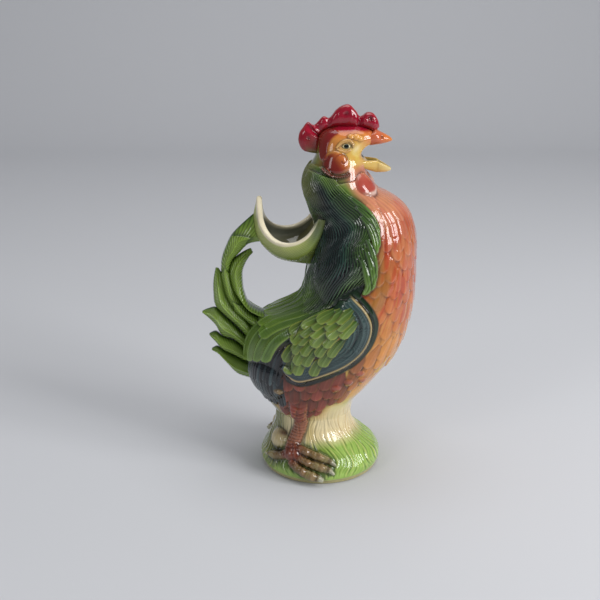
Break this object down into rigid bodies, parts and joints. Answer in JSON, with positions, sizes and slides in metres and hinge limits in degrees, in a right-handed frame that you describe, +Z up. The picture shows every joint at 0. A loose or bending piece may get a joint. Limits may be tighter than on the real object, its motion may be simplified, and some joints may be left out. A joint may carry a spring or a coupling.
{
  "type": "rooster pitcher",
  "caption": "Glazed earthenware rooster pitcher, filled through a collar behind the neck, held by its tail handle and poured through the open beak.",
  "frame": {"origin": "centre of the round base on the plane it stands on", "axes": "+Z up, +X the way the bird faces, Y across its plane of symmetry"},
  "size_m": [0.1959, 0.1226, 0.34],
  "materials": {
    "foot_biscuit": "matt",
    "grass_glaze": "gloss",
    "breast_glaze": "gloss",
    "face_glaze": "gloss",
    "collar_glaze": "gloss",
    "beak_glaze": "gloss",
    "comb_glaze": "gloss",
    "eye_glaze": "gloss",
    "lobe_glaze": "gloss",
    "wattle_glaze": "gloss",
    "hackle_glaze": "gloss",
    "covert_glaze": "gloss",
    "primary_glaze": "gloss",
    "saddle_glaze": "gloss",
    "thigh_glaze": "gloss",
    "leg_glaze": "gloss",
    "cream_glaze": "gloss",
    "tail_glaze": "gloss"
  },
  "bodies": {
    "root": {"foot_slab": "foot_biscuit", "grass_base": "grass_glaze", "belly_shell": "breast_glaze", "neck_shell": "breast_glaze", "head_shell": "face_glaze", "filling_collar": "collar_glaze", "upper_beak": "beak_glaze", "lower_beak": "beak_glaze", "comb": "comb_glaze", "eye_right": "eye_glaze", "eye_left": "eye_glaze", "ear_lobe_right": "lobe_glaze", "ear_lobe_left": "lobe_glaze", "wattle_right": "wattle_glaze", "wattle_left": "wattle_glaze", "hackle_right": "hackle_glaze", "hackle_left": "hackle_glaze", "wing_coverts_right": "covert_glaze", "wing_coverts_left": "covert_glaze", "wing_primaries_right": "primary_glaze", "wing_primaries_left": "primary_glaze", "saddle_right": "saddle_glaze", "saddle_left": "saddle_glaze", "thigh_right": "thigh_glaze", "thigh_left": "thigh_glaze", "hock_right": "leg_glaze", "hock_left": "leg_glaze", "shank_right": "leg_glaze", "shank_left": "leg_glaze", "foot_ball_right": "leg_glaze", "foot_ball_left": "leg_glaze", "front_toe_right": "leg_glaze", "front_toe_left": "leg_glaze", "outer_toe_right": "leg_glaze", "outer_toe_left": "leg_glaze", "inner_toe_right": "leg_glaze", "inner_toe_left": "leg_glaze", "hind_toe_right": "leg_glaze", "hind_toe_left": "leg_glaze", "grass_lump_right": "cream_glaze", "grass_lump_left": "cream_glaze", "tail_handle": "tail_glaze", "curled_sickle": "tail_glaze", "outer_sickle": "tail_glaze", "upper_covert": "tail_glaze", "middle_covert": "tail_glaze", "lower_covert": "tail_glaze"}
  },
  "joints": []
}
